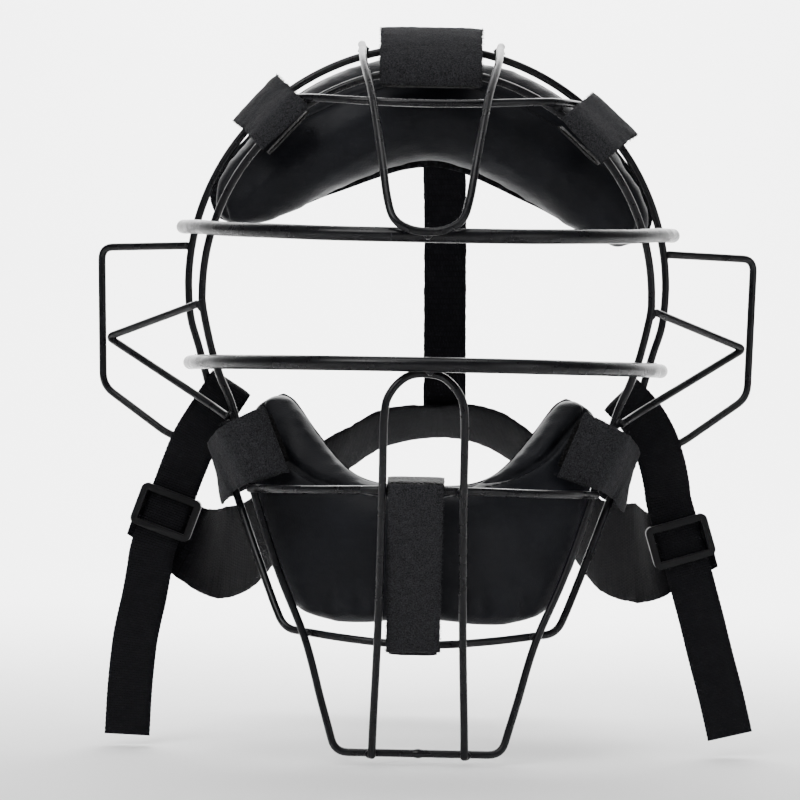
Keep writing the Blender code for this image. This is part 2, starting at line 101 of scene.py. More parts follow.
# ---- materials ----
class Surface:
    """A Principled material with a few short-hands for its texture nodes."""

    def __init__(self, name, roughness, **constants):
        self.mat = bpy.data.materials.new(name)
        self.mat.use_nodes = True
        self.nodes = self.mat.node_tree.nodes
        self.links = self.mat.node_tree.links
        self.shader = self.nodes["Principled BSDF"]
        self.shader.inputs["Roughness"].default_value = roughness
        for socket, value in constants.items():
            self.shader.inputs[socket.replace("_", " ")].default_value = value
        self.coords = self.nodes.new("ShaderNodeTexCoord")

    def link(self, output, target, socket):
        self.links.new(output, target.inputs[socket])

    def noise(self, scale, detail=4.0, space="Object", stretch=None):
        node = self.nodes.new("ShaderNodeTexNoise")
        node.inputs["Scale"].default_value = scale
        node.inputs["Detail"].default_value = detail
        source = self.coords.outputs[space]
        if stretch:
            mapping = self.nodes.new("ShaderNodeMapping")
            mapping.inputs["Scale"].default_value = stretch
            self.link(source, mapping, "Vector")
            source = mapping.outputs["Vector"]
        self.link(source, node, "Vector")
        return node.outputs["Fac"]

    def cells(self, scale, feature="F1"):
        node = self.nodes.new("ShaderNodeTexVoronoi")
        node.feature = feature
        node.inputs["Scale"].default_value = scale
        self.link(self.coords.outputs["Object"], node, "Vector")
        return node.outputs["Distance"]

    def weave(self, across, along, gap, space="UV"):
        """Half-offset cells in the band's own millimetres: 1 on the threads, 0 between them."""
        node = self.nodes.new("ShaderNodeTexBrick")
        node.inputs["Scale"].default_value = 1.0
        node.inputs["Brick Width"].default_value = across
        node.inputs["Row Height"].default_value = along
        node.inputs["Mortar Size"].default_value = gap
        node.inputs["Mortar Smooth"].default_value = 1.0
        node.inputs["Color1"].default_value = (1, 1, 1, 1)
        node.inputs["Color2"].default_value = (0.72, 0.72, 0.72, 1)
        node.inputs["Mortar"].default_value = (0, 0, 0, 1)
        self.link(self.coords.outputs[space], node, "Vector")
        return node.outputs["Color"]

    def ramp(self, value, low, high, start=0.3, end=0.7):
        node = self.nodes.new("ShaderNodeValToRGB")
        node.color_ramp.elements[0].position = start
        node.color_ramp.elements[1].position = end
        node.color_ramp.elements[0].color = (*low, 1)
        node.color_ramp.elements[1].color = (*high, 1)
        self.link(value, node, "Fac")
        return node.outputs["Color"]

    def colour(self, value, low, high, start=0.3, end=0.7):
        self.link(self.ramp(value, low, high, start, end), self.shader, "Base Color")

    def roughness(self, value, low, high):
        grey = self.ramp(value, (low,) * 3, (high,) * 3)
        self.link(grey, self.shader, "Roughness")

    def bump(self, *layers):
        """Each layer is (height, distance in mm), from the coarsest to the finest."""
        normal = None
        for height, distance in layers:
            node = self.nodes.new("ShaderNodeBump")
            node.inputs["Strength"].default_value = 1.0
            node.inputs["Distance"].default_value = distance * MM
            self.link(height, node, "Height")
            if normal:
                self.link(normal, node, "Normal")
            normal = node.outputs["Normal"]
        self.link(normal, self.shader, "Normal")


def make_materials():
    paint = Surface("powder_coat", 0.3, IOR=1.36, Specular_IOR_Level=0.4)
    paint.colour(paint.noise(60), (0.002, 0.002, 0.003), (0.005, 0.005, 0.0065))
    paint.roughness(paint.noise(140), 0.22, 0.38)
    paint.bump((paint.noise(450, 2), 0.05))

    vinyl = Surface("vinyl", 0.48, Specular_IOR_Level=0.13)
    vinyl.colour(vinyl.noise(25), (0.004, 0.0043, 0.0058), (0.0085, 0.0092, 0.0122))
    vinyl.roughness(vinyl.noise(90), 0.42, 0.58)
    vinyl.bump((vinyl.noise(55, 3, stretch=(1, 1, 2.2)), 0.7), (vinyl.cells(850, "DISTANCE_TO_EDGE"), 0.12),
               (vinyl.noise(1500, 2), 0.03))

    lining = Surface("mesh_lining", 0.85, Sheen_Weight=0.02, Specular_IOR_Level=0.06)
    lining.colour(lining.cells(520), (0.01, 0.0105, 0.012), (0.003, 0.003, 0.0035), 0.3, 0.55)
    lining.bump((lining.noise(70), 0.5), (lining.cells(520), -0.45))

    loops = Surface("loop_fabric", 0.95, Sheen_Weight=0.04, Sheen_Roughness=0.5, Specular_IOR_Level=0.06)
    loops.colour(loops.noise(2300, 6), (0.004, 0.004, 0.0045), (0.039, 0.0395, 0.0435), 0.3, 0.75)
    loops.bump((loops.noise(120, 3), 0.25), (loops.noise(1900, 8), 0.4))

    hooks = Surface("hook_tape", 0.65, Specular_IOR_Level=0.1)
    hooks.colour(hooks.cells(900), (0.012, 0.012, 0.013), (0.003, 0.003, 0.003), 0.1, 0.5)
    hooks.bump((hooks.cells(900), -0.6))

    webbing = Surface("webbing", 0.7, Specular_IOR_Level=0.09)
    threads = webbing.weave(1.9, 0.95, 0.16)
    webbing.colour(threads, (0.001, 0.001, 0.0013), (0.0062, 0.0062, 0.008), 0.0, 1.0)
    webbing.bump((webbing.noise(120), 0.25), (threads, 0.35), (webbing.noise(2200, 2), 0.08))

    elastic = Surface("elastic", 0.85, Specular_IOR_Level=0.05)
    ribs = elastic.weave(1.3, 2.4, 0.2)
    elastic.colour(ribs, (0.001, 0.001, 0.0013), (0.0045, 0.0045, 0.0058), 0.0, 1.0)
    elastic.bump((elastic.noise(90), 0.4), (ribs, 0.3), (elastic.noise(1600, 3), 0.12))

    plastic = Surface("slider_plastic", 0.42, Specular_IOR_Level=0.16)
    plastic.colour(plastic.noise(80), (0.003, 0.003, 0.0035), (0.006, 0.006, 0.007))
    plastic.roughness(plastic.noise(200), 0.33, 0.5)
    plastic.bump((plastic.noise(1300, 3), 0.025))

    thread = Surface("thread", 0.75, Specular_IOR_Level=0.15)
    thread.colour(thread.noise(900), (0.005, 0.005, 0.0055), (0.016, 0.016, 0.018))
    thread.bump((thread.noise(2500, 2), 0.06))

    ground = Surface("studio_white", 0.9)
    ground.colour(ground.noise(3), (0.86, 0.86, 0.86), (0.9, 0.9, 0.9))
    surfaces = {"wire": paint, "vinyl": vinyl, "mesh_lining": lining, "loop_fabric": loops,
                "hook_fabric": hooks, "webbing": webbing, "elastic": elastic,
                "slider_plastic": plastic, "thread": thread, "ground": ground}
    return {key: surface.mat for key, surface in surfaces.items()}


MATERIALS = make_materials()


# ---- lines ----
def mirrored(point):
    return Vector((-point[0], point[1], point[2]))


def catmull(a, b, c, d, t):
    curve = 2 * b + (c - a) * t + (2 * a - 5 * b + 4 * c - d) * t ** 2 + (3 * b - a - 3 * c + d) * t ** 3
    return 0.5 * curve


def neighbours(items, i, closed):
    """The four items round the stretch from i to i + 1, continued past open ends."""
    if closed:
        return [items[(i + k) % len(items)] for k in (-1, 0, 1, 2)]
    b, c = items[i], items[i + 1]
    a = items[i - 1] if i > 0 else b + (b - c)
    d = items[i + 2] if i + 2 < len(items) else c + (c - b)
    return a, b, c, d


def spline_through(points, step, closed=False):
    """Points along a Catmull-Rom curve through the given ones, about step apart."""
    points = [Vector(p) for p in points]
    out = []
    for i in range(len(points) if closed else len(points) - 1):
        a, b, c, d = neighbours(points, i, closed)
        parts = max(1, round((c - b).length / step))
        out += [catmull(a, b, c, d, k / parts) for k in range(parts)]
    if not closed:
        out.append(points[-1].copy())
    return out


def stations_through(rows, step):
    """The same for (centre, direction across) pairs of a band."""
    centres = [Vector(centre) for centre, _ in rows]
    across = [Vector(side).normalized() for _, side in rows]
    out = []
    for i in range(len(rows) - 1):
        parts = max(1, round((centres[i + 1] - centres[i]).length / step))
        for k in range(parts):
            t = k / parts
            centre = catmull(*neighbours(centres, i, False), t)
            out.append((centre, across[i].lerp(across[i + 1], t)))
    out.append((centres[-1], across[-1]))
    return out


def rounded_corners(points, radius, parts=6):
    points = [Vector(p) for p in points]
    out = [points[0]]
    for before, corner, after in zip(points, points[1:], points[2:]):
        start = corner + (before - corner).normalized() * radius
        end = corner + (after - corner).normalized() * radius
        for k in range(parts + 1):
            t = k / parts
            out.append(start * (1 - t) ** 2 + corner * 2 * t * (1 - t) + end * t ** 2)
    out.append(points[-1])
    return out


def evenly(points, step):
    """Straight runs cut into pieces no longer than step."""
    out = []
    for a, b in zip(points, points[1:]):
        parts = max(1, round((b - a).length / step))
        out += [a.lerp(b, k / parts) for k in range(parts)]
    return out + [points[-1]]


# ---- meshes ----
def new_piece(name, verts, faces, slot, smooth=True, uvs=None):
    mesh = bpy.data.meshes.new(name)
    mesh.from_pydata([Vector(v) * MM for v in verts], [], faces)
    mesh.materials.append(MATERIALS[slot])
    if uvs:
        layer = mesh.uv_layers.new(name="band")
        for loop in mesh.loops:
            layer.data[loop.index].uv = uvs[loop.vertex_index]
    obj = bpy.data.objects.new(name, mesh)
    bpy.context.collection.objects.link(obj)
    bm = bmesh.new()
    bm.from_mesh(mesh)
    bmesh.ops.recalc_face_normals(bm, faces=bm.faces)
    bm.to_mesh(mesh)
    bm.free()
    mesh.polygons.foreach_set("use_smooth", [smooth] * len(mesh.polygons))
    return obj


def stand_for(piece, body, slot, *nodes):
    """Rides the piece on the body, if one is given, and hides the CAD nodes it replaces. Its slot argument is
    not used.
    """
    if body:
        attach(piece, body)
    if nodes:
        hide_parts(*nodes)
    return piece


def transported(points, closed=False):
    """(tangent, normal) at each point, turning no more than the line does."""
    count = len(points)
    tangents = []
    for i in range(count):
        after = points[(i + 1) % count] if closed else points[min(i + 1, count - 1)]
        before = points[i - 1] if closed else points[max(i - 1, 0)]
        tangents.append((after - before).normalized())
    normal = tangents[0].orthogonal().normalized()
    out = []
    for i, tangent in enumerate(tangents):
        if i:
            normal = tangents[i - 1].rotation_difference(tangent) @ normal
        normal = (normal - tangent * normal.dot(tangent)).normalized()
        out.append((tangent, normal.copy()))
    return out


def tube_parts(points, radii, sides, closed=False):
    """Vertices and faces of a round tube; an open one ends in domes."""
    frames = transported(points, closed)
    rings = [(p, t, n, r) for p, (t, n), r in zip(points, frames, radii)]
    twist = 0.0
    if closed:
        last_t, last_n = frames[-1]
        carried = last_t.rotation_difference(frames[0][0]) @ last_n
        twist = carried.angle(frames[0][1])
        if carried.cross(frames[0][1]).dot(frames[0][0]) < 0:
            twist = -twist
    else:
        dome = (0.35, 0.7, 0.93)
        start, end = rings[0], rings[-1]
        first = [(start[0] - start[1] * start[3] * k * 0.8, start[1], start[2],
                  start[3] * (1 - k * k) ** 0.5) for k in reversed(dome)]
        last = [(end[0] + end[1] * end[3] * k * 0.8, end[1], end[2],
                 end[3] * (1 - k * k) ** 0.5) for k in dome]
        rings = first + rings + last
    verts = []
    for i, (point, tangent, normal, radius) in enumerate(rings):
        side = tangent.cross(normal)
        turn = twist * i / len(rings)
        for k in range(sides):
            angle = 2 * pi * k / sides + turn
            verts.append(point + (normal * cos(angle) + side * sin(angle)) * radius)
    faces = []
    for i in range(len(rings) if closed else len(rings) - 1):
        for k in range(sides):
            a, b = i * sides + k, i * sides + (k + 1) % sides
            c, d = (b + sides) % len(verts), (a + sides) % len(verts)
            faces.append((a, b, c, d))
    if not closed:
        faces.append(tuple(range(sides)))
        faces.append(tuple(len(verts) - 1 - k for k in range(sides)))
    return verts, faces


def join_parts(parts):
    verts, faces = [], []
    for more_verts, more_faces in parts:
        base = len(verts)
        verts += more_verts
        faces += [tuple(base + i for i in face) for face in more_faces]
    return verts, faces


WIRES = {}


def wire(name, points, radius=WIRE, closed=False):
    points = [Vector(p) for p in points]
    WIRES[name] = (points, radius, closed)
    verts, faces = tube_parts(points, [radius] * len(points), 18 if radius > 2 else 14, closed)
    return stand_for(new_piece(name + "_rod", verts, faces, "wire"), "cage", "wire", name)


def band(name, rows, width, thick, slot, step=0.8, columns=10, scallop=0.0, wobble=0.0, seed=0):
    """A woven or brushed band with rounded edges. width is a number or a function of 0 to 1 along it."""
    stations = stations_through(rows, step)
    count = len(stations)
    ring = 2 * (columns + 1)
    verts, uvs = [], []
    travelled = 0.0
    for i, (centre, across) in enumerate(stations):
        before, after = stations[max(i - 1, 0)][0], stations[min(i + 1, count - 1)][0]
        ahead = (after - before).normalized()
        across = (across - ahead * across.dot(ahead)).normalized()
        normal = ahead.cross(across)
        if i:
            travelled += (centre - stations[i - 1][0]).length
        t = i / (count - 1)
        full = width(t) if callable(width) else width
        full += scallop * sin(2 * pi * travelled / 1.9)
        end_round = min(1.0, 0.45 + 0.55 * min(i, count - 1 - i) / 2)
        for face in (1, -1):
            for j in range(columns + 1):
                u = (-1 + 2 * j / columns) * face
                lift = thick / 2 * (1 - 0.75 * abs(u) ** 6) * end_round * face
                spot = centre + across * (full / 2 * u) + normal * lift
                if wobble:
                    shake = noise.noise_vector(spot * 0.35 + Vector((seed, 0, 0)))
                    spot += shake * wobble * (0.35 + 0.65 * abs(u) ** 4)
                verts.append(spot)
                uvs.append((full / 2 * u + 50, travelled))
    faces = []
    for i in range(count - 1):
        for k in range(ring):
            a, b = i * ring + k, i * ring + (k + 1) % ring
            faces.append((a, b, b + ring, a + ring))
    faces.append(tuple(range(ring)))
    faces.append(tuple((count - 1) * ring + k for k in range(ring)))
    return new_piece(name, verts, faces, slot, uvs=uvs)


def stitches(name, lines, body, length=2.2, gap=1.0, radius=0.2):
    """Short raised threads along the lines, each line a list of points on the surface."""
    parts = []
    for line in lines:
        points = evenly([Vector(p) for p in line], 0.3)
        run, pause = round(length / 0.3), round(gap / 0.3)
        for start in range(0, len(points) - run, run + pause):
            dash = points[start:start + run + 1:2]
            radii = [radius * (0.6 + 0.4 * sin(pi * k / (len(dash) - 1))) for k in range(len(dash))]
            parts.append(tube_parts(dash, radii, 5))
    verts, faces = join_parts(parts)
    return stand_for(new_piece(name, verts, faces, "thread"), body, "webbing")


def fibres(name, spots, body, slot, seed, length=1.6, radius=0.07):
    """Loose fibre ends: spots are (root, outward direction)."""
    rng = random.Random(seed)
    parts = []
    for root, outward in spots:
        lean = Vector((rng.uniform(-1, 1), rng.uniform(-1, 1), rng.uniform(-1, 1))) * 0.7
        direction = (outward + lean).normalized()
        reach = length * rng.uniform(0.4, 1.2)
        curl = lean.cross(direction) * reach * 0.4
        halfway = root + direction * reach * 0.5 + curl * 0.3
        points = [root - direction * 0.3, halfway, root + direction * reach + curl]
        parts.append(tube_parts(points, [radius, radius * 0.8, radius * 0.4], 3))
    verts, faces = join_parts(parts)
    return stand_for(new_piece(name, verts, faces, slot), body, slot)


# ---- wire cage ----
def hoop(name, arc_radius, arc_centre, arc_depth, leg, bottom, corner):
    top = []
    for degrees in range(0, 91, 2):
        angle = radians(degrees)
        top.append(Vector((arc_radius * sin(angle), arc_depth(angle), arc_centre + arc_radius * cos(angle))))
    side = spline_through([top[-4]] + top[-1:] + leg, 2.5)
    side = side[min(range(len(side)), key=lambda i: (side[i] - top[-1]).length) + 1:]
    last = rounded_corners([side[-1], corner, bottom[0]], 5)[1:-1]
    half = top + side[:-1] + last + spline_through(bottom, 3)
    wire(name, half + [mirrored(p) for p in reversed(half[1:-1])], closed=True)


def both_sides(half):
    half = [Vector(p) for p in half]
    return half + [mirrored(p) for p in reversed(half[:-1])]


def cage():
    leg = [Vector(p) for p in ((91.9, 0, -8), (88.5, 0, -19.5), (85.3, 0, -31), (81.5, 0, -45),
                               (76, -2.5, -66), (68, -10, -88), (60, -20, -108), (54.5, -27, -121))]
    bottom = [Vector(p) for p in ((44, -33.9, -127.4), (29, -43, -128.8), (12, -49.2, -130),
                                  (0, -50, -130.3))]
    hoop("rear_hoop", REAR_RADIUS, REAR_CENTRE_Z, lambda angle: 0.0, leg, bottom, (51.5, -29.5, -126.8))
    leg = [Vector(p) for p in ((85.6, -22, -5), (82.2, -22, -20), (78.4, -22.4, -31.4), (73, -23, -44.4),
                               (65, -26, -73.4), (54.5, -32, -104), (43.6, -38, -129.5),
                               (37, -42, -152), (32.8, -44.6, -166))]
    bottom = [Vector(p) for p in ((25, -46, -171.4), (12, -46, -171.4), (0, -46, -171.4))]
    hoop("front_hoop", FRONT_RADIUS, FRONT_CENTRE_Z, lambda angle: FRONT_DEPTH - 4 * cos(angle), leg, bottom,
         (31.3, -45.8, -171.4))
    halves = {
        "upper_eye_bar": [(95.2, 8, 27.4), (95.1, 0, 27), (87.3, -22.5, 25.8), (76, -44, 24), (58, -65, 22.5),
                          (34, -79.5, 21.3), (0, EYE_BAR_DEPTH, 20.9)],
        "lower_eye_bar": [(92, 8, -25.8), (91.4, 0, -25.8), (84.9, -22.3, -25.8), (74.5, -45, -25.9),
                          (57, -66, -26), (33, -80.5, -26), (0, EYE_BAR_DEPTH - 1, -26)],
        "brow_bar": [(60.8, -3.4, 76.2), (54, -18, 76), (46.8, -29.6, 75.4), (33, -39, 74), (16, -44.6, 72.8),
                     (0, -46, 72.4)],
        "chin_bar": [(66, -28.6, -73.8), (63.5, -31.5, -73.7), (54, -48, -73.2), (38, -64, -72.6),
                     (19, -74.6, -72), (0, CHIN_DEPTH, -71.8)],
        "upper_centre_loop": [(27.2, -1, 99.2), (26.8, -4.2, 98.3), (25.6, -27, 89.6), (21.7, -49.6, 74.2),
                              (17.4, -74, 49.5), (15, -84.5, 34.5), (12.4, -88.7, 26.6), (7, -89.8, 22.9),
                              (0, -89.6, 21.9)],
        "lower_centre_loop": [(17.3, -49.4, -172.2), (17, -50.5, -160), (15.9, -58, -130), (15.2, -70, -100),
                              (14.8, -80.6, -70), (14.6, -83.4, -45), (12.6, -83, -36.6), (7, -82.2, -30.7),
                              (0, -81.8, -29.2)]}
    for name, half in halves.items():
        wire(name, spline_through(both_sides(half), 2), EYE_BAR if "eye" in name else WIRE)
    frame_line = [(93.9, 0, 19.6), (129, 18, 19.2), (127.4, 18, -35.4), (100, 10.5, -54.6),
                  (80.6, 9.6, -58.6), (77.8, 2.2, -58.2)]
    brace_line = [(88, -22.4, -3.8), (125.4, 14.6, -16.3), (82, -17.6, -42.3), (75.2, -25.2, -46.6)]
    for side, sign in (("left", -1), ("right", 1)):
        for name, line, radius in (("ear_guard_frame", frame_line, 5), ("ear_guard_brace", brace_line, 3.2)):
            points = rounded_corners([(sign * x, y, z) for x, y, z in line], radius)
            wire(f"{side}_{name}", evenly(points, 3))


def weld_spots():
    """Where two wires come within reach of a weld: (middle, direction of the line there, distance)."""
    names = sorted(WIRES)
    found = []
    for i, first in enumerate(names):
        tree = KDTree(len(WIRES[first][0]))
        for k, point in enumerate(WIRES[first][0]):
            tree.insert(point, k)
        tree.balance()
        for second in names[i + 1:]:
            limit = WIRES[first][1] + WIRES[second][1] + WELD_REACH
            close = []
            for k, point in enumerate(WIRES[second][0]):
                other, at, distance = tree.find(point)
                if distance < limit:
                    close.append((distance, k, at, point, other))
            for distance, k, at, point, other in sorted(close):
                middle = (point + other) / 2
                if all((middle - spot[0]).length > WELD_SPACING for spot in found):
                    line, place = WIRES[second][0], k
                    if (point - line[0]).length < 5 or (point - line[-1]).length < 5:
                        line, place = WIRES[first][0], at
                    along = (line[min(place + 1, len(line) - 1)] - line[max(place - 1, 0)]).normalized()
                    found.append((middle, along, distance))
    return found


def welds():
    """Small uneven beads that join the wires, and the butt weld in the middle of the front hoop's bottom."""
    parts = []
    for middle, along, distance in weld_spots():
        radii, points = [], []
        for k in range(9):
            t = -1 + k / 4
            points.append(middle + along * WELD_HALF_LENGTH * t)
            swell = 1 + 0.12 * noise.noise(middle * 0.3 + along * k)
            radii.append(max(0.25, (0.5 * distance - 0.1) * (1 - 0.9 * abs(t) ** 2.4)) * swell)
        parts.append(tube_parts(points, radii, 10))
    butt = [Vector((x, -46, -171.4)) for x in (-2, -1.2, -0.5, 0, 0.5, 1.2, 2)]
    parts.append(tube_parts(butt, [1.45, 1.62, 1.78, 1.84, 1.8, 1.64, 1.45], 14))
    verts, faces = join_parts(parts)
    stand_for(new_piece("cage_welds", verts, faces, "wire"), "cage", "wire")


# ---- pads ----
def pad_sections(stations, crown, shape):
    """Closed rings of points across the pad, one per station."""
    sections = []
    for inner, outer, front, back in stations:
        inner, outer = Vector(inner), Vector(outer)
        span = (outer - inner).length
        across = (outer - inner) / span
        scale = min(1.0, span / 30)
        ring = []
        for t, d in shape:
            y = front + d * (back - front) if d > 0 else front + d * crown * scale
            ring.append(Vector((inner.x + across.x * t * span, y, inner.y + across.y * t * span)))
        sections.append(ring)
    return sections


def skinned(name, sections, slot):
    ring = len(sections[0])
    verts = [p for section in sections for p in section]
    faces = []
    for s in range(len(sections) - 1):
        for k in range(ring):
            a, b = s * ring + k, s * ring + (k + 1) % ring
            faces.append((a, b, b + ring, a + ring))
    faces.append(tuple(range(ring)))
    faces.append(tuple((len(sections) - 1) * ring + k for k in range(ring)))
    return new_piece(name, verts, faces, slot)


def apply_modifiers(obj):
    bpy.context.view_layer.update()
    evaluated = obj.evaluated_get(bpy.context.evaluated_depsgraph_get())
    mesh = bpy.data.meshes.new_from_object(evaluated)
    old = obj.data
    obj.modifiers.clear()
    obj.data = mesh
    bpy.data.meshes.remove(old)


def remeshed(obj, voxel):
    modifier = obj.modifiers.new("voxels", "REMESH")
    modifier.mode = "VOXEL"
    modifier.voxel_size = voxel * MM
    modifier.use_smooth_shade = True
    apply_modifiers(obj)


def inflate(obj, pressure, cap):
    """Blows the skin up as cloth under pressure; no point moves further than cap."""
    start = [v.co.copy() for v in obj.data.vertices]
    modifier = obj.modifiers.new("cloth", "CLOTH")
    settings = modifier.settings
    settings.quality = 6
    settings.use_pressure = True
    settings.uniform_pressure_force = pressure
    settings.effector_weights.gravity = 0
    settings.tension_stiffness = 25
    settings.compression_stiffness = 25
    settings.bending_stiffness = 3
    scene = bpy.context.scene
    for number in range(1, 21):
        scene.frame_set(number)
    evaluated = obj.evaluated_get(bpy.context.evaluated_depsgraph_get())
    moved = [v.co.copy() for v in evaluated.data.vertices]
    obj.modifiers.clear()
    scene.frame_set(1)
    for vertex, before, after in zip(obj.data.vertices, start, moved):
        step = after - before
        if step.length > cap * MM:
            step *= cap * MM / step.length
        vertex.co = before + step


def smoothed(obj, levels):
    modifier = obj.modifiers.new("round", "SUBSURF")
    modifier.levels = levels
    modifier.render_levels = levels
    apply_modifiers(obj)
    obj.data.polygons.foreach_set("use_smooth", [True] * len(obj.data.polygons))


def keep_clear(obj, names, gap):
    """Presses the skin in where a wire lies on it."""
    points, sizes = [], []
    for name in names:
        line, radius, closed = WIRES[name]
        dense = evenly(line + line[:1] if closed else line, 1.0)
        points += dense
        sizes += [radius] * len(dense)
    tree = KDTree(len(points))
    for i, point in enumerate(points):
        tree.insert(point, i)
    tree.balance()
    for vertex in obj.data.vertices:
        here = vertex.co / MM
        near, i, distance = tree.find(here)
        limit = sizes[i] + gap
        if distance < limit:
            away = (here - near).normalized()
            vertex.co = (near + away * limit) * MM


def surface_tree(obj):
    faces = [tuple(polygon.vertices) for polygon in obj.data.polygons]
    return BVHTree.FromPolygons([vertex.co for vertex in obj.data.vertices], faces)


def on_surface(tree, line, lift=0.1, towards=(0, 1, 0)):
    """Each (x, z) point of the line brought onto the skin, seen from the front."""
    out = []
    for x, z in line:
        hit, normal, _, _ = tree.ray_cast(Vector((x, -160, z)) * MM, Vector(towards))
        if hit:
            out.append(hit / MM + normal * lift)
    return out


def smooth_line(points, step=1.0):
    return [(p.x, p.z) for p in spline_through([Vector((x, 0, z)) for x, z in points], step)]


def pinch(obj, line, depth, width):
    """Draws the skin in along a seam."""
    tree = KDTree(len(line))
    for i, point in enumerate(line):
        tree.insert(point, i)
    tree.balance()
    normals = [v.normal.copy() for v in obj.data.vertices]
    for vertex, normal in zip(obj.data.vertices, normals):
        _, _, distance = tree.find(vertex.co / MM)
        if distance < 3 * width:
            vertex.co -= normal * depth * exp(-(distance / width) ** 2) * MM


def crease(obj, spots):
    """Soft folds that run out from a puckered place: spots are (centre, direction, length, depth)."""
    for vertex in obj.data.vertices:
        here = vertex.co / MM
        for centre, direction, length, depth in spots:
            offset = here - Vector(centre)
            along = offset.dot(direction)
            if 0 < along < length:
                aside = (offset - direction * along).length
                fade = sin(pi * along / length)
                vertex.co -= vertex.normal * depth * fade * exp(-(aside / 2.4) ** 2) * MM


def forehead_stations(shrink=0.0):
    half = ((0, 46.8, 92), (8, 46.5, 92), (14, 46.4, 93.6), (28, 46.6, 94), (42, 49.2, 94), (54, 54.5, 94.8),
            (63, 60, 96), (70, 67, 94.6), (75, 77, 88))
    rows = spline_through([Vector(row) for row in half], 3.5)
    stations = []
    for sign in (-1, 1):
        ordered = list(reversed(rows))[:-1] if sign < 0 else rows
        for degrees, inner, outer in ordered:
            angle = radians(sign * degrees - PAD_TILT)
            radii = (inner + shrink, outer - shrink)
            edges = [(r * sin(angle), REAR_CENTRE_Z + r * cos(angle)) for r in radii]
            thin = max(0.0, (degrees - 54) / 21)
            stations.append((*edges, 2.4 + 1.2 * thin + shrink, 22 - 8 * thin - shrink))
    return stations


FOREHEAD_SHAPE = ((0.0, 0.97), (0.005, 0.6), (0.04, 0.28), (0.12, 0.08), (0.3, -0.09), (0.5, -0.15),
                  (0.66, -0.07), (0.78, 0.08), (0.88, 0.26), (0.96, 0.5), (0.995, 0.75), (1.0, 0.97),
                  (0.75, 1.0), (0.5, 1.0), (0.25, 1.0))
CHIN_SHAPE = ((0.0, 0.97), (0.002, 0.5), (0.03, 0.16), (0.11, -0.04), (0.26, -0.14), (0.5, -0.13),
              (0.7, -0.1), (0.88, -0.02), (0.975, 0.12), (0.998, 0.45), (1.0, 0.97),
              (0.75, 1.0), (0.5, 1.0), (0.25, 1.0))


def chin_stations(shrink=0.0):
    half = (((0, -70), (0, -123.5), -45, -27), ((15, -69.5), (18, -125), -43.5, -26),
            ((25, -66.5), (35, -124.5), -39, -22), ((32, -61), (48, -119.5), -33, -16),
            ((38, -54), (57, -106), -26, -8), ((43, -48), (62, -90), -21.5, -3),
            ((47, -42.5), (64.5, -73), -17, 1), ((50.5, -38.5), (66, -56), -12, 5),
            ((55, -36.2), (66.8, -43.5), -8, 7))
    packed = [(Vector((*p[0], p[2])), Vector((*p[1], p[3]))) for p in half]
    rows = []
    for i in range(len(packed) - 1):
        for k in range(4):
            t = k / 4
            rows.append([catmull(*neighbours([row[j] for row in packed], i, False), t) for j in (0, 1)])
    rows.append([packed[-1][0], packed[-1][1]])
    stations = []
    for sign in (-1, 1):
        ordered = list(reversed(rows))[:-1] if sign < 0 else rows
        for a, b in ordered:
            across = (b - a).normalized() * shrink
            inner = (sign * (a.x + across.x), a.y + across.y)
            outer = (sign * (b.x - across.x), b.y - across.y)
            stations.append((inner, outer, a.z + shrink, b.z - shrink))
    return stations


def lining_piece(name, stations, node):
    """The fabric on the face side, gently quilted, with a bound edge."""
    sections = []
    for inner, outer, _, back in stations:
        inner, outer = Vector(inner), Vector(outer)
        span = (outer - inner).length
        across = (outer - inner) / span
        near, far, edge = back + 0.3, back + 1.3, 1.0
        ring = []
        for t in (0, 0.25, 0.5, 0.75, 1):
            ring.append((edge + t * (span - 2 * edge), near))
        for t in (1, 0.85, 0.6, 0.4, 0.15, 0):
            ring.append((edge + t * (span - 2 * edge), far + 1.2 * sin(pi * t)))
        sections.append([Vector((inner.x + across.x * s, y, inner.y + across.y * s)) for s, y in ring])
    piece = skinned(name, sections, "mesh_lining")
    smoothed(piece, 1)
    stand_for(piece, "cage", "mesh_lining", node)


def forehead_pad():
    pad = skinned("forehead_pad", pad_sections(forehead_stations(0.8), 26, FOREHEAD_SHAPE), "vinyl")
    remeshed(pad, 4.0)
    inflate(pad, 4.0, 2.2)
    smoothed(pad, 2)
    tree = surface_tree(pad)
    seam_half = ((0, 80.5), (20, 80.2), (35, 81.2), (46, 83.8), (54, 86.5), (63, 88.5), (70, 87), (74, 83))
    angles = [(-d, r) for d, r in reversed(seam_half[1:])] + list(seam_half)
    turned = [(radians(degrees - PAD_TILT), radius) for degrees, radius in angles]
    seam = [(radius * sin(angle), REAR_CENTRE_Z + radius * cos(angle)) for angle, radius in turned]
    line = on_surface(tree, smooth_line(seam), 0.0)
    pinch(pad, line, 1.1, 1.5)
    keep_clear(pad, ("rear_hoop", "front_hoop", "upper_eye_bar"), 0.25)
    stand_for(pad, "cage", "vinyl", "forehead_pad_cover", "forehead_pad_foam")
    welt = on_surface(surface_tree(pad), smooth_line([(x * 0.985, z - 0.8) for x, z in seam]), 0.15)
    stitches("forehead_pad_stitching", [welt], "cage", 2.4, 1.0, 0.16)
    lining_piece("forehead_lining", forehead_stations(), "forehead_pad_lining")


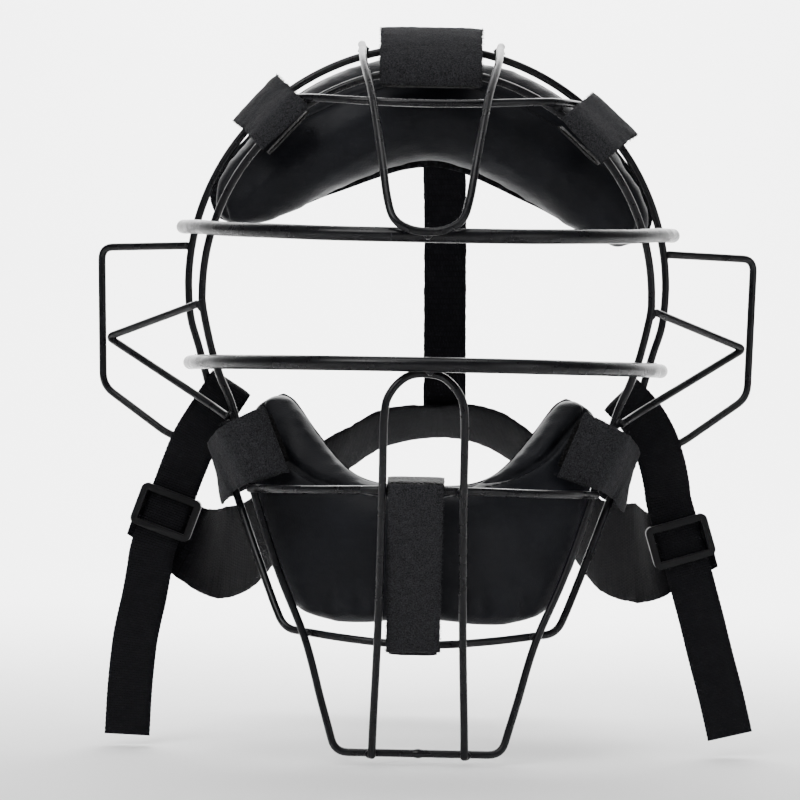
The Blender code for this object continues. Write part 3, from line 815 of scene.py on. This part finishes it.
def chin_pad():
    pad = skinned("chin_pad", pad_sections(chin_stations(0.8), 20, CHIN_SHAPE), "vinyl")
    remeshed(pad, 4.0)
    inflate(pad, 4.0, 2.4)
    smoothed(pad, 2)
    tree = surface_tree(pad)
    left = ((-63.5, -42), (-60.5, -50), (-54, -60.5), (-43, -68.4), (-31, -71.6), (-20.5, -73),
            (-10, -74.5), (0, -75))
    right = ((66, -37), (61.5, -43), (54.5, -51), (46.4, -59.6), (35, -66), (22, -69.5), (10, -73),
             (0, -75))
    seams = []
    for line in (left, right):
        seam = on_surface(tree, smooth_line(line), 0.0)
        pinch(pad, seam, 2.6, 1.5)
        seams.append(line)
    gathers = ((-36, -40, 0.2), (-22, -44, -0.1), (-8, -46, 0.1), (14, -46, 0.15), (26, -43, -0.2),
               (40, -38, -0.1))
    crease(pad, [(Vector((x, y, -128)), Vector((lean, 0.1, 1)).normalized(), 22, 1.1)
                 for x, y, lean in gathers])
    keep_clear(pad, ("rear_hoop", "front_hoop", "chin_bar"), 0.25)
    stand_for(pad, "cage", "vinyl", "chin_pad_cover", "chin_pad_foam")
    tree = surface_tree(pad)
    threads = [on_surface(tree, smooth_line([(x, z - 2.2) for x, z in line[1:]]), 0.1) for line in seams]
    stitches("chin_pad_stitching", threads, "cage", 2.4, 1.1, 0.16)
    lining_piece("chin_lining", chin_stations(), "chin_pad_lining")


# ---- hook-and-loop tabs ----
def hoop_direction(angle, slant=0.0):
    outward = Vector((sin(angle), 0, cos(angle)))
    sideways = Vector((cos(angle), 0, -sin(angle)))
    return outward, sideways * cos(radians(slant)) + outward * sin(radians(slant))


def band_rows(degrees, slant, pairs):
    outward, across = hoop_direction(radians(degrees), slant)
    centre = Vector((0, 0, REAR_CENTRE_Z))
    return [(centre + outward * r + Vector((0, y, 0)), across) for r, y in pairs]


def edge_spots(rows, width, side, count, seed, start=0.0, end=1.0):
    """Places along one long edge of a band, pointing outwards."""
    rng = random.Random(seed)
    stations = stations_through(rows, 0.5)
    spots = []
    for _ in range(count):
        at = int(rng.uniform(start, end) * (len(stations) - 1))
        centre, across = stations[at]
        across = across.normalized() * side
        spots.append((centre + across * (width / 2 - 0.3), across))
    return spots


def forehead_tabs():
    centre_flap = ((97.6, 6.4), (99.5, 1.5), (99.2, -8), (94.5, -18), (87, -27), (81.5, -30.2), (75, -30.4))
    side_flap = ((97.9, 6.4), (99.3, 0.5), (97.6, -9), (92, -19), (87.2, -27), (83.4, -29.6), (79.6, -29.8))
    centre_hook = ((79.3, -4.8), (76.9, -12), (75.6, -20), (75.2, -28.8))
    side_hook = ((81, -4.2), (79, -13), (78.3, -21), (78, -28.3))
    root = ((97.7, 7.2), (96.5, 12), (95.6, 17))
    for name, degrees, slant, flap, hook, width in (
            ("forehead_centre", 0, 0, centre_flap, centre_hook, 39),
            ("forehead_left", -43.5, 4, side_flap, side_hook, 24),
            ("forehead_right", 46.5, 4, side_flap, side_hook, 23)):
        rows = band_rows(degrees, slant, flap)
        body = f"{name}_tab"
        piece = band(f"{name}_flap", rows, width, TAB_THICK, "loop_fabric", 0.9, 24, wobble=0.5, seed=degrees)
        stand_for(piece, body, "loop_fabric", body)
        spots = [spot for side in (-1, 1) for spot in edge_spots(rows, width, side, 260, 7 + side)]
        fibres(f"{name}_flap_fuzz", spots, body, "loop_fabric", 11, 1.1, 0.06)
        hook_rows = band_rows(degrees, slant, hook)
        piece = band(f"{name}_hook_strip", hook_rows, width - 2, 1.0, "hook_fabric", 1.0, 16,
                     wobble=0.4, seed=3)
        stand_for(piece, "cage", "hook_fabric", f"{name}_hook")
        root_rows = band_rows(degrees, slant, root)
        piece = band(f"{name}_sewn_root", root_rows, width - 4, TAB_THICK, "loop_fabric", 1.0, 16,
                     wobble=0.3, seed=5)
        stand_for(piece, "cage", "loop_fabric", f"{name}_root")


def chin_centre_tab():
    middle = -2.6
    flap = [(-53.2, -133), (-55.2, -129), (-64, -110), (-74, -88), (-80.9, -75.5), (-81.3, -69.6)]
    hook = [(-52.5, -68.2), (-62, -67.6), (-73.5, -68.6), (-78.4, -69.2), (-79.9, -71), (-80, -74)]
    root = [(-52.4, -133.6), (-48, -133.4), (-43, -129.4), (-39.5, -125.8)]
    rows = [((middle, y, z), (1, 0, 0)) for y, z in flap]
    piece = band("chin_strap_flap", rows, 20, TAB_THICK, "loop_fabric", 0.9, 16, wobble=0.5, seed=2)
    stand_for(piece, "chin_centre_tab", "loop_fabric", "chin_centre_tab")
    spots = [spot for side in (-1, 1) for spot in edge_spots(rows, 20, side, 300, 20 + side)]
    fibres("chin_strap_fuzz", spots, "chin_centre_tab", "loop_fabric", 13, 1.0, 0.06)
    hook_rows = [((middle, y, z), (1, 0, 0)) for y, z in hook]
    piece = band("chin_strap_hook", hook_rows, 21, HOOK_THICK, "hook_fabric", 0.8, 16, wobble=0.3, seed=4)
    stand_for(piece, "cage", "hook_fabric", "chin_centre_hook")
    root_rows = [((middle, y, z), (1, 0, 0)) for y, z in root]
    piece = band("chin_strap_root", root_rows, 18, TAB_THICK, "loop_fabric", 0.8, 12, wobble=0.3, seed=6)
    stand_for(piece, "cage", "loop_fabric", "chin_centre_root")


def chin_side_tabs():
    flap = ((67.6, 2.7, -66), (73, 3.7, -68), (78, 3.4, -70), (79.6, 1.4, -71.4), (79.5, -4.5, -71.2),
            (78.6, -12, -68.4), (77.5, -17.6, -65.6), (72.4, -29, -61.4), (67, -31, -59),
            (61, -30.6, -56.6), (56, -29.8, -54.6))
    hook = ((62, -27.6, -57), (58, -27.2, -55.4), (54.6, -26.8, -54))
    narrow, wide = 16, 27
    for side, sign in (("left", -1), ("right", 1)):
        rows = []
        for i, (x, y, z) in enumerate(flap):
            lean = radians(-15 + 41 * i / 6 if i < 7 else 26 + 2 * (i - 7))
            rows.append(((sign * x, y, z), (sign * sin(lean), 0, cos(lean))))
        body = f"chin_{side}_tab"
        piece = band(f"chin_{side}_flap", rows, lambda t: narrow + (wide - narrow) * t, TAB_THICK,
                     "loop_fabric", 0.9, 20, wobble=0.5, seed=sign)
        stand_for(piece, None, "loop_fabric", body, f"chin_{side}_root")
        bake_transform(piece)
        spots = [spot for edge in (-1, 1) for spot in edge_spots(rows[7:], 26, edge, 120, 30 + edge)]
        fibres(f"chin_{side}_fuzz", spots, body, "loop_fabric", 17, 0.9, 0.06)
        hook_rows = [((sign * x, y, z), rows[-1][1]) for x, y, z in hook]
        piece = band(f"chin_{side}_hook_strip", hook_rows, 19, HOOK_THICK, "hook_fabric", 0.8, 12,
                     wobble=0.2, seed=8)
        stand_for(piece, "cage", "hook_fabric", f"chin_{side}_hook")


# ---- harness ----
def in_plane_across(direction):
    return Vector((-direction.z, 0, direction.x))


def side_webbing(side, sign, bight, slider, lean, tail, tail_lean):
    """The webbing from its sewn end, round the hoop, through the slider and down to its loose end."""
    down = Vector((sign * sin(radians(lean)), 0, -cos(radians(lean))))
    centre = Vector((slider[0], 0, slider[1]))
    plan = spline_through([Vector((x, 0, z)) for x, z in bight] + [centre - down * 16], 5)
    front_y, back_y, slider_back_y = -4.0, 2.6, 3.5
    middle_y, fold_radius = (front_y + back_y) / 2, (back_y - front_y) / 2
    front, back = [], []
    for i, point in enumerate(plan):
        blend = max(0.0, 2 * i / (len(plan) - 1) - 1) ** 2
        front.append(point + Vector((0, front_y * (1 - blend), 0)))
        back.append(point + Vector((0, back_y + (slider_back_y - back_y) * blend, 0)))
    start = (plan[1] - plan[0]).normalized()
    fold = []
    for turn in range(1, 6):
        angle = pi * turn / 6
        depth = Vector((0, middle_y + fold_radius * cos(angle), 0))
        fold.append(plan[0] + depth - start * fold_radius * sin(angle))
    straight_end = centre + down * WEBBING_STRAIGHT
    below = straight_end.lerp(Vector(tail[0]), TAIL_SHARE)
    front += [centre - down * 4, straight_end]
    behind = Vector((0, slider_back_y, 0))
    sewn_end = [centre + down * 9 + behind, centre - down * 4 + behind]
    line = sewn_end + list(reversed(back)) + fold + front
    half = len(sewn_end) + len(back)
    rows = []
    for i, point in enumerate(line):
        if half - 1 <= i <= half + len(fold):
            across = in_plane_across(start)
        else:
            ahead = line[min(i + 1, len(line) - 1)] - line[max(i - 1, 0)]
            ahead.y = 0
            across = in_plane_across(-ahead.normalized() if i < half else ahead.normalized())
        rows.append((point, across))
    onward = (Vector(tail[0]) - below).normalized()
    hinge = below + onward * TAIL_GAP
    drop = spline_through([hinge] + [Vector(p) for p in tail], 7)
    across = in_plane_across(onward)
    last = Vector((cos(radians(tail_lean)), 0, sign * sin(radians(tail_lean)))) * (1 if across.x > 0 else -1)
    rows += [(p, across.lerp(last, i / (len(drop) - 1))) for i, p in enumerate(drop)]
    piece = band(f"{side}_strap", rows, WEBBING_WIDTH - 0.4, WEBBING_THICK, "webbing", 0.4, 10, scallop=0.12)
    stand_for(piece, None, "webbing", f"{side}_webbing", f"{side}_tail")
    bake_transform(piece)
    slider_piece(side, centre, down, in_plane_across(down))
    seam = []
    for offset in (-5, -2):
        middle = centre + down * offset + Vector((0, slider_back_y + 0.75, 0))
        seam.append([middle - across * 7.5, middle + across * 7.5])
    return centre, down, seam


def slider_piece(side, centre, down, across):
    """The moulded slider: the CAD's three bars with rounded corners and edges."""
    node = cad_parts[f"{side}_slider"]
    piece = bpy.data.objects.new(f"{side}_buckle", node.data.copy())
    bpy.context.collection.objects.link(piece)
    bm = bmesh.new()
    bm.from_mesh(piece.data)
    bmesh.ops.remove_doubles(bm, verts=bm.verts, dist=0.00001)
    bmesh.ops.dissolve_limit(bm, angle_limit=radians(2), verts=bm.verts, edges=bm.edges)
    corners = []
    for edge in bm.edges:
        ends = [node.matrix_world @ vert.co / MM - centre for vert in edge.verts]
        middle, along = (ends[0] + ends[1]) / 2, (ends[1] - ends[0]).normalized()
        if abs(along.y) > 0.9 and abs(middle.dot(across)) > SLIDER[0] / 2 - 0.3:
            if abs(middle.dot(down)) > SLIDER[1] / 2 - 0.3:
                corners.append(edge)
    bmesh.ops.bevel(bm, geom=corners, offset=2.6 * MM, segments=6, profile=0.5, affect="EDGES")
    bm.to_mesh(piece.data)
    bm.free()
    bevel = piece.modifiers.new("soft_edges", "BEVEL")
    bevel.width = 0.5 * MM
    bevel.segments = 3
    bevel.limit_method = "ANGLE"
    bevel.angle_limit = radians(40)
    apply_modifiers(piece)
    piece.data.materials.clear()
    piece.data.materials.append(MATERIALS["slider_plastic"])
    piece.data.polygons.foreach_set("use_smooth", [True] * len(piece.data.polygons))
    stand_for(piece, f"{side}_slider", "slider_plastic", f"{side}_slider")


def rear_strap(left, right):
    def end(centre, down, sign):
        outward = in_plane_across(down)
        if outward.x * sign < 0:
            outward = -outward
        behind = Vector((0, 6, 0))
        sewn = centre + down * 4 + behind
        return [(sewn + outward * 12, -down, 20), (sewn, -down, 24)]
    rows = end(*left[:2], -1) + [
        (Vector((-89.4, 8.5, -97)), (0.25, 0, 0.97), 30), (Vector((-80, 35, -101.6)), (0.05, 0, 1), 37),
        (Vector((-68.8, 70, -98)), (0, -0.2, 1), 38), (Vector((-52.4, 112, -80)), (0, -0.6, 0.8), 38),
        (Vector((-36.4, 138, -63.8)), (0.1, -0.82, 0.55), 38),
        (Vector((-17.2, 152, -51.8)), (0, -0.9, 0.43), 38),
        (Vector((7, 158, -48.4)), (0, -0.93, 0.36), 38), (Vector((27, 152, -50.8)), (0, -0.9, 0.43), 38),
        (Vector((44.2, 138, -60.6)), (-0.1, -0.82, 0.55), 38),
        (Vector((58.8, 112, -80)), (0, -0.6, 0.8), 38),
        (Vector((73.6, 70, -97)), (0, -0.2, 1), 38), (Vector((86, 35, -98.6)), (-0.05, 0, 1), 40),
        (Vector((92.6, 8.5, -97.6)), (-0.25, 0, 0.97), 33)] + list(reversed(end(*right[:2], 1)))
    centres = [row[:2] for row in rows]
    widths = [row[2] for row in rows]
    lengths = [0.0]
    for (a, _), (b, _) in zip(centres, centres[1:]):
        lengths.append(lengths[-1] + (b - a).length)

    def width(t):
        at = t * lengths[-1]
        i = max(k for k in range(len(lengths) - 1) if lengths[k] <= at)
        return widths[i] + (widths[i + 1] - widths[i]) * (at - lengths[i]) / (lengths[i + 1] - lengths[i])
    piece = band("rear_elastic", centres, width, ELASTIC_THICK, "elastic", 0.8, 16, scallop=0.1, wobble=0.25)
    stand_for(piece, "cage", "elastic", "rear_strap")


def crown_strap():
    line = [(0, 12, 98.9), (0, 22, 98.9), (0.5, 36, 99.8), (2, 62, 101), (4, 100, 94), (6, 128, 72),
            (7.4, 141, 40), (8, 144, 5), (8.4, 141.5, -22), (8.6, 140.8, -32), (8.6, 143, -38.6),
            (8.6, 148, -41.4), (8.6, 159, -45.4), (8.6, 171, -50.4)]
    rows = [(point, (1, 0, 0)) for point in line]
    piece = band("crown_elastic", rows, CROWN_WIDTH, 1.5, "elastic", 0.8, 10, scallop=0.1,
                 wobble=0.25, seed=9)
    stand_for(piece, "cage", "elastic", "crown_strap")


def harness():
    left = side_webbing("left", -1, ((-77.2, -36.3), (-82.4, -44.6), (-89.2, -56)), (-100, -84.4), 19.5,
                        ((-108.2, 0, -119), (-111, 0, -133), (-112.8, 0, -152), (-113.6, 0, -171.5)), 3)
    right = side_webbing("right", 1, ((78.6, -37.6), (84.2, -43.6), (89.6, -52.5), (93.8, -65)),
                         (100.6, -91.9), 16.8,
                         ((109.4, 0, -122), (113.4, 0, -137), (117.6, 0, -152), (121.4, 0, -167.5)), 14)
    stitches("harness_stitching", left[2] + right[2], "cage", 1.6, 0.7, 0.22)
    rear_strap(left, right)
    crown_strap()


# ---- studio ----
def studio():
    floor_z = CAD_BOX[0][2] / MM - 2.5
    profile = [(-2500, floor_z)] + [(900 + 500 * sin(radians(a)), floor_z + 500 * (1 - cos(radians(a))))
                                    for a in range(0, 91, 10)] + [(1400, 2600)]
    verts = [(x, y, z) for y, z in profile for x in (-2600, 2600)]
    faces = [(2 * i, 2 * i + 1, 2 * i + 3, 2 * i + 2) for i in range(len(profile) - 1)]
    new_piece("studio_sweep", verts, faces, "ground")
    for name, place, size, power in (("key", (-0.8, -1.3, 1.3), 0.9, 24), ("fill", (1.2, -1.2, 0.3), 0.9, 6),
                                     ("top", (0, -0.3, 1.7), 1.0, 15), ("back", (0, 0.7, 1.2), 1.4, 125)):
        light = bpy.data.lights.new(name, "AREA")
        light.shape = "SQUARE"
        light.size = size
        light.energy = power
        lamp = bpy.data.objects.new(name + "_light", light)
        lamp.location = place
        aim = Vector((0, 0, -0.03)) if name != "back" else Vector((0, 1.4, 0.8))
        lamp.rotation_euler = (aim - Vector(place)).to_track_quat("-Z", "Y").to_euler()
        bpy.context.collection.objects.link(lamp)
    world = bpy.data.worlds.new("studio")
    world.use_nodes = True
    world.node_tree.nodes["Background"].inputs["Color"].default_value = (1, 1, 1, 1)
    world.node_tree.nodes["Background"].inputs["Strength"].default_value = 0.2
    bpy.context.scene.world = world


def camera():
    data = bpy.data.cameras.new("camera")
    data.lens = FOCAL
    data.sensor_width = 36
    obj = bpy.data.objects.new("camera", data)
    rolled = Matrix(((cos(ROLL), -sin(ROLL), 0), (0, 0, -1), (sin(ROLL), cos(ROLL), 0)))
    obj.matrix_world = Matrix.Translation(EYE) @ Matrix.Rotation(YAW, 4, "Z") @ rolled.to_4x4()
    bpy.context.collection.objects.link(obj)
    bpy.context.scene.camera = obj


def build():
    cage()
    welds()
    forehead_pad()
    chin_pad()
    forehead_tabs()
    chin_centre_tab()
    chin_side_tabs()
    harness()
    studio()
    camera()


build()
